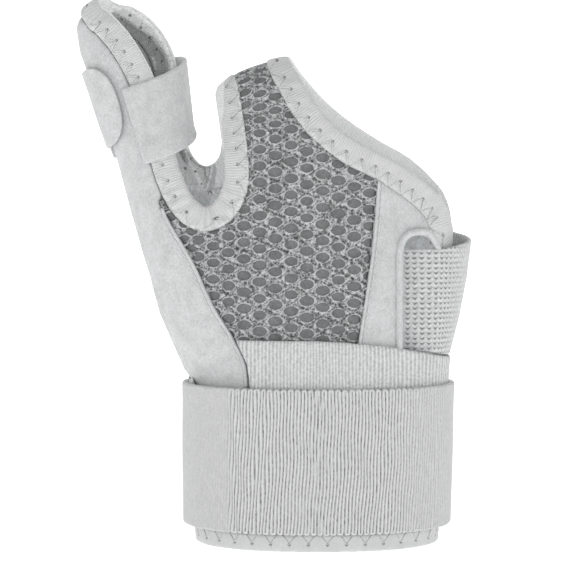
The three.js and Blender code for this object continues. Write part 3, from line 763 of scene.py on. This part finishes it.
def outer_turn():
    """The outer turn of the wrist strap: hairpin knit on the front, brushed towards the thumb side."""
    low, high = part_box("wrist_strap_outer")
    width = high.z - low.z
    rises = np.unique(np.concatenate([
        np.linspace(0, STRAP_EDGE, 7), np.linspace(STRAP_EDGE, width - STRAP_EDGE, 26),
        np.linspace(width - STRAP_EDGE, width, 7)]))
    span = rises[-1]
    turns = 2 * math.pi * np.arange(OUTER_COLUMNS) / OUTER_COLUMNS
    middle = section(PALM_ROWS, HALF_DEPTH, np.array([STRAP_SHARE]), turns[:, None], OUTER_TURN_FACE)[:, 0]
    steps = np.linalg.norm(np.roll(middle, -1, axis=0) - middle, axis=1)
    round_it = np.concatenate([[0], np.cumsum(steps)[:-1]])
    whole = steps.sum()
    loops = round(whole / LOOP_PITCH)
    across = round_it * (loops * LOOP_PITCH / whole)
    random = np.random.default_rng(7)
    wander = sum(random.uniform(0.2, 1) * np.sin(wave * turns + random.uniform(0, 6))
                 for wave in (5, 9, 14, 23))
    share = rises[:, None] / span
    drift = 0.25 * MM * wander[None, :] * np.sin(3.1 * share + 0.4) + 0.18 * MM * np.sin(
        2 * math.pi * (2.3 * share + 0.6 * wander[None, :]))
    lean = 1.2 * MM * (1 - share) ** 3
    from_edge = np.minimum(rises, span - rises)[:, None] + 0.12 * MM * np.sin(
        2 * math.pi * across[None, :] / (5.3 * LOOP_PITCH))
    relief = loop_relief(across[None, :] + drift + lean, np.maximum(from_edge, 0))
    ribbed = np.clip((middle[:, 0] - BRUSHED_UP_TO) / (2.5 * MM), 0.08, 1)
    ribbed = (ribbed * np.clip((FLAT_AFTER - middle[:, 0]) / FLAT_FADE, 0.35, 1))[None, :]
    height = (relief - 1) * RIB_HEIGHT * (0.2 + 0.8 * ribbed)
    close = np.clip(from_edge / (0.5 * MM), 0, 1)
    height = height - 0.45 * MM * (1 - close) ** 2
    shares = (low.z + rises) / HEIGHT
    out = section(PALM_ROWS, HALF_DEPTH, shares[:, None], turns[None, :], OUTER_TURN_FACE + height)
    inner = section(PALM_ROWS, HALF_DEPTH, shares[[-1, 0], None], turns[None, :],
                    OUTER_TURN_FACE - STRAP_THICKNESS)
    points = np.concatenate([out.reshape(-1, 3), inner.reshape(-1, 3)])
    rows = len(rises)
    faces = []
    for a, b in zip(range(rows + 2), list(range(1, rows + 2)) + [0]):
        for i in range(OUTER_COLUMNS):
            j = (i + 1) % OUTER_COLUMNS
            row, next_row = a * OUTER_COLUMNS, b * OUTER_COLUMNS
            faces.append((row + i, row + j, next_row + j, next_row + i))
    piece = mesh_piece(points, faces)
    # Painted shade: dark in the valleys between the yarns, and a flat painted shade where the ribs are
    # brushed smooth or sunk.
    groove_shade = (1 - relief) * ribbed + 0.3 * (1 - ribbed)
    set_attribute(piece, "groove_shade", np.concatenate([groove_shade.ravel(), np.zeros(2 * OUTER_COLUMNS)]))
    return finish_piece(piece, "wrist_strap_outer_knit", KNIT, "knit_elastic", "wrist_strap_outer")


def inner_turn():
    """The inner turn of the strap, in fine wavering ribs."""
    piece = cloth_copy("wrist_strap_inner", 0.6 * MM, 6)
    points = corners_of(piece)
    turn = np.arctan2(points[:, 1] - PALM_MIDDLE.y, points[:, 0] - PALM_MIDDLE.x)
    ribs = round(2 * math.pi * INNER_TURN_RADIUS / RIB_PITCH)
    sway = 0.3 * np.sin(points[:, 2] / (3.1 * MM) + 9 * turn) + 0.3 * np.sin(23 * turn)
    set_map(piece, "weave", (turn * ribs / (2 * math.pi) + sway / 6) * WAFFLE_PITCH, points[:, 2])
    return finish_piece(piece, "wrist_strap_inner_knit", WAFFLE, "knit_elastic", "wrist_strap_inner")


def strap_loop():
    """The loop that stands off the little-finger side, in a waffle knit where it comes out of its slot."""
    piece = cloth_copy("wrist_strap_loop", 0.5 * MM, 6)
    points = corners_of(piece)
    low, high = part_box("wrist_strap_loop")
    middle = (low + high) / 2
    wide, deep = high.x - low.x, (high.y - low.y) / 2
    turn = np.arctan2((points[:, 1] - middle.y) / deep, (points[:, 0] - low.x) / wide)
    set_map(piece, "weave", turn * wide, points[:, 2])
    set_attribute(piece, "waffle", fade(turn, -0.35, -0.5))
    return finish_piece(piece, "wrist_strap_loop_knit", WAFFLE, "knit_elastic", "wrist_strap_loop")


# Spacer mesh

def form_tree():
    """The palm tube and the thumb sheath as one smooth form to lay things on."""
    points, faces = [], []
    columns, steps = 180, 110
    for rows, half_depth in ((PALM_ROWS, HALF_DEPTH), (THUMB_ROWS, THUMB_HALF_DEPTH)):
        shares = np.linspace(rows[0][0], rows[-1][0], steps)
        turns = 2 * math.pi * np.arange(columns) / columns
        grid = section(rows, half_depth, shares[:, None], turns[None, :], 0.0)
        base = len(points)
        points.extend(grid.reshape(-1, 3).tolist())
        for r in range(steps - 1):
            for i in range(columns):
                a, b = base + r * columns + i, base + r * columns + (i + 1) % columns
                faces.append((a, b, b + columns, a + columns))
    return BVHTree.FromPolygons(points, faces)


FORM = form_tree()
COVERS = ["thumb_panel", "palm_panel", "thumb_binding", "finger_binding", "wrist_strap_inner"]
SPINE = (PALM_MIDDLE.x - 38 * MM, PALM_MIDDLE.x + 26 * MM)  # ends of the line that the mesh is laid round
END_REACH = 22 * MM  # how far the line's ends stand in from the splint's sides
DOME_FROM = 132 * MM  # above this the mesh is laid over the fold at the web of the hand
DOME_REACH = 21 * MM
NET_LOW, NET_HIGH = 46 * MM, 170 * MM
NET_LONGEST_EDGE = 4 * MM  # a longer one would stretch over a gap
ROW_SLOPE = 0.13  # the rows of holes climb towards the little-finger side


def mesh_surface(run, rise):
    """Where the mesh lies at a run round the hand and a rise up it, and whether it can be seen there."""
    straight = SPINE[1] - SPINE[0]
    quarter = math.pi * END_REACH
    if run < straight:
        middle, turn = SPINE[0] + run, -math.pi / 2
    elif run < straight + quarter:
        middle, turn = SPINE[1], -math.pi / 2 + (run - straight) / END_REACH
    elif run < 2 * straight + quarter:
        middle, turn = SPINE[1] - (run - straight - quarter), math.pi / 2
    else:
        middle, turn = SPINE[0], math.pi / 2 + (run - 2 * straight - quarter) / END_REACH
    lean = max(rise - DOME_FROM, 0) / DOME_REACH
    out = Vector((math.cos(turn) * math.cos(lean), math.sin(turn) * math.cos(lean), math.sin(lean)))
    start = Vector((middle, PALM_MIDDLE.y, min(rise, DOME_FROM))) + out * LAY_FROM
    place, normal, _, far = FORM.ray_cast(start, -out)
    if place is None or abs(normal.dot(out)) < 0.05:
        return None
    if normal.dot(out) < 0:
        normal = -normal
    seen = all((hit := TREES[node].ray_cast(start, -out))[0] is None or hit[3] > far + 2.5 * MM
               for node in COVERS)
    held = TREES["hand_mesh"].ray_cast(start, -out)
    return place, normal, seen and held[0] is not None and held[3] < far + 3 * MM


def net():
    """The pierced face of the spacer mesh: a knitted rim round each hole, laid on the mitt."""
    whole = 2 * (SPINE[1] - SPINE[0]) + 2 * math.pi * END_REACH
    columns = round(whole / HOLE_PITCH_ACROSS)
    pitch = whole / columns
    rows = int((NET_HIGH - NET_LOW + ROW_SLOPE * whole) / HOLE_PITCH_UP)
    cell = (pitch / 2, HOLE_PITCH_UP / 2)
    hole = (HOLE_HALF_WIDTH, HOLE_HALF_HEIGHT)
    places, faces, known = [], [], {}

    def add(u, v, lift, rim):
        key = (round(u / MM, 2), round(v / MM, 2))
        if key not in known:
            known[key] = len(places)
            places.append((u, v, lift, rim))
        return known[key]

    random = np.random.default_rng(11)
    for row in range(-2 * rows, rows * 2):
        for column in range(columns):
            u = (column + 0.5 * (row % 2)) * pitch
            v = NET_LOW + row * HOLE_PITCH_UP / 2 + ROW_SLOPE * u
            if not NET_LOW < v < NET_HIGH:
                continue
            size = random.uniform(0.92, 1.06)
            rings = [[], [], [], []]
            for s in range(HOLE_SIDES):
                turn = 2 * math.pi * s / HOLE_SIDES
                c, d = math.cos(turn), math.sin(turn)
                reach = 1 / (abs(c) / cell[0] + abs(d) / cell[1])
                for ring, (grow, lift, rim) in zip(rings, NET_PROFILE):
                    a, b = hole[0] * size * grow * c, hole[1] * size * grow * d
                    if ring is rings[-1]:
                        a, b = reach * c, reach * (d + ROW_SLOPE * c)
                    ring.append(add(u + a, v + b, lift, rim))
            for inner, outer in zip(rings, rings[1:]):
                for s in range(HOLE_SIDES):
                    t = (s + 1) % HOLE_SIDES
                    faces.append((inner[s], outer[s], outer[t], inner[t]))
    laid = [mesh_surface(u % whole, v) for u, v, _, _ in places]
    faces = [face for face in faces if all(laid[i] for i in face) and any(laid[i][2] for i in face)]
    kept = sorted({i for face in faces for i in face})
    number = {old: new for new, old in enumerate(kept)}
    points = [laid[i][0] + laid[i][1] * places[i][2] for i in kept]
    piece = mesh_piece(points, [tuple(number[i] for i in face) for face in faces])
    set_attribute(piece, "rim", np.array([places[i][3] for i in kept]))
    bm = bmesh.new()
    bm.from_mesh(piece.data)
    long = [f for f in bm.faces if max(e.calc_length() for e in f.edges) > NET_LONGEST_EDGE]
    bmesh.ops.delete(bm, geom=long, context="FACES")
    bmesh.ops.delete(bm, geom=[v for v in bm.verts if not v.link_faces], context="VERTS")
    bmesh.ops.recalc_face_normals(bm, faces=bm.faces)
    middle = Vector((PALM_MIDDLE.x, PALM_MIDDLE.y, 90 * MM))
    if sum(f.normal.dot(f.calc_center_median() - middle) for f in bm.faces) < 0:
        bmesh.ops.reverse_faces(bm, faces=bm.faces)
    bm.to_mesh(piece.data)
    bm.free()
    apply_modifier(piece, "SOLIDIFY", thickness=0.25 * MM, offset=-1.0)
    return finish_piece(piece, "mesh_net", STRAND, "spacer_mesh")


# Seams and rolled edges of the panels

def even_run(knots, pitch):
    """Points along a line of shares, as seen from the front, an even pitch apart."""
    line = edge_line(knots)
    lengths = runs_of(line)
    return point_at(line, lengths, np.arange(0, lengths[-1], pitch)).T


def laid_run(node, line, front, inset, lift):
    """The line, moved sideways by an inset, where it lies on a node's face."""
    places = []
    steps = np.gradient(line, axis=0)
    for (x, z), (a, b) in zip(line, steps):
        size = math.hypot(a, b)
        place, normal = surface_at(node, x - inset * b / size, z + inset * a / size, front)
        if place is not None and abs(normal.y) > 0.2:
            places.append(place + normal * lift)
    return places


def seam(name, node, knots, inset, length, pitch):
    """A row of straight stitches beside an edge."""
    laid = laid_run(node, even_run(knots, SEAM_STEP), True, inset, 0.1 * MM)
    step, gap = round(length / SEAM_STEP), round(pitch / SEAM_STEP)
    strands = []
    for i in range(0, len(laid) - gap, gap):
        strand = laid[i:i + step + 1:2]
        if longest_step(strand) < LONGEST_STEP:
            strands.append(strand)
    return thread_piece(name, strands, 0.2 * MM, node_slot="brushed_fabric")


def roll(name, node, knots, inset, radius, sink):
    """A turned edge: a round welt half sunk in the cloth."""
    laid = laid_run(node, even_run(knots, 0.8 * MM), True, inset, radius - sink)
    smooth = [laid[0]] + [(a + b * 2 + c) / 4 for a, b, c in zip(laid, laid[1:], laid[2:])] + [laid[-1]]
    return thread_piece(name, [smooth], radius, material=BRUSHED, node_slot="brushed_fabric", sides=12)


THUMB_PANEL_EDGE = [(-1.16, 0.615), (-1.11, 0.588), (-0.93, 0.515), (-0.785, 0.44), (-0.62, 0.375),
                    (-0.54, 0.335), (-0.52, 0.29)]
PALM_PANEL_EDGE = [(0.44, 0.665), (0.44, 0.655), (0.395, 0.53), (0.29, 0.36), (0.275, 0.3)]
SLOT_EDGE = [(0.629, 0.36), (0.629, 0.42), (0.629, 0.48), (0.629, 0.53), (0.648, 0.553), (0.695, 0.565),
             (0.76, 0.567), (0.825, 0.565), (0.872, 0.553), (0.891, 0.53)]


def dress_edges():
    seam("thumb_panel_seam", "thumb_panel", THUMB_PANEL_EDGE, -1.5 * MM, 1.6 * MM, 2.6 * MM)
    seam("palm_panel_seam", "palm_panel", PALM_PANEL_EDGE, 1.6 * MM, 1.6 * MM, 2.6 * MM)
    roll("thumb_panel_welt", "thumb_panel", THUMB_PANEL_EDGE, -0.6 * MM, 0.6 * MM, 0.35 * MM)
    roll("palm_panel_welt", "palm_panel", PALM_PANEL_EDGE, 0.6 * MM, 0.5 * MM, 0.3 * MM)
    roll("slot_roll", "palm_panel", SLOT_EDGE, 0.9 * MM, 1.1 * MM, 0.6 * MM)


# Building the dressed splint

def dress_mitt():
    backing = cloth_copy("hand_mesh", 0.9 * MM, 5, 0.3 * MM)
    points, normals = corners_of(backing), normals_of(backing)
    faces_in = faces_inwards(points, normals)
    x, y, z = points.T
    # The slot's patch of the mitt is made pale and given the lining's painted glow.
    faces_in[(x > SLOT_FROM) & (y < 0) & (z > SLOT_LOW) & (z < SLOT_HIGH)] = SLOT_PALE_AND_GLOW
    set_attribute(backing, "inside", faces_in)
    finish_piece(backing, "hand_mesh_backing", BACKING, "spacer_mesh", "hand_mesh")
    net()


def lay_over_mesh(panel):
    """Brings the panel's foot out over the mesh at the thumb side, where the mitt bulges."""
    points = corners_of(panel)
    x, y, z = points.T
    foot = fade(z, FOOT_LOW, FOOT_LOW_FADE) * fade(z, FOOT_HIGH, -FOOT_HIGH_FADE)
    side = fade(y, FOOT_FRONT, FOOT_FRONT_FADE) * (y < FOOT_BACK) * (x < FOOT_SIDE)
    points[:, 0] -= FOOT_OUT * foot * side
    move_corners(panel, points)


def dress_panels():
    for node, voxel, rounds in BRUSHED_PIECES:
        piece = cloth_copy(node, voxel * MM, rounds)
        if node == "thumb_panel":
            lay_over_mesh(piece)
        finish_piece(piece, node + "_cloth", BRUSHED, "brushed_fabric", node)


def dress_straps():
    outer_turn()
    inner_turn()
    strap_loop()


def dress_hem():
    """The hem: a smooth fold of elastic with V stitches, each from a pinhole up under the strap."""
    piece = cloth_copy("hem_binding", 0.6 * MM, 7)
    turns = np.linspace(-math.pi, math.pi, 721)
    face = section(PALM_ROWS, HALF_DEPTH, np.array([HEM_HOLE_RISE / HEIGHT]), turns[:, None], HEM_FACE)[:, 0]
    runs = runs_of(face)
    angles = np.arctan2(face[:, 1] - PALM_MIDDLE.y, face[:, 0] - PALM_MIDDLE.x)
    angles[0], angles[-1] = -math.pi, math.pi
    count = round(runs[-1] / HEM_STITCH_PITCH)
    runs *= count * HEM_STITCH_PITCH / runs[-1]
    points = corners_of(piece)
    angle = np.arctan2(points[:, 1] - PALM_MIDDLE.y, points[:, 0] - PALM_MIDDLE.x)
    set_map(piece, "edge", np.interp(angle, angles, runs), points[:, 2])
    finish_piece(piece, "hem_binding_elastic", HEM_ELASTIC, "elastic_binding", "hem_binding")
    strands = []
    for i in range(count):
        for side in (-1, 1):
            share = np.arange(5) / 4
            turn = np.interp((i + 0.5) * HEM_STITCH_PITCH + side * share * HEM_STITCH_SPREAD, runs, turns)
            rise = (HEM_HOLE_RISE + share * STITCH_REACH) / HEIGHT
            laid = section(PALM_ROWS, HALF_DEPTH, rise, turn, HEM_FACE + 0.03 * MM)
            strands.append([Vector(p) for p in laid])
    thread_piece("hem_stitches", strands, THREAD_RADIUS)


set_camera()
set_studio()
dress_mitt()
dress_panels()
edging("thumb_binding", THUMB_EDGE_FRONT, THUMB_EDGE_BACK, 117 * MM)
edging("finger_binding", FINGER_EDGE_FRONT, FINGER_EDGE_BACK, 0)
dress_straps()
dress_hem()
dress_edges()
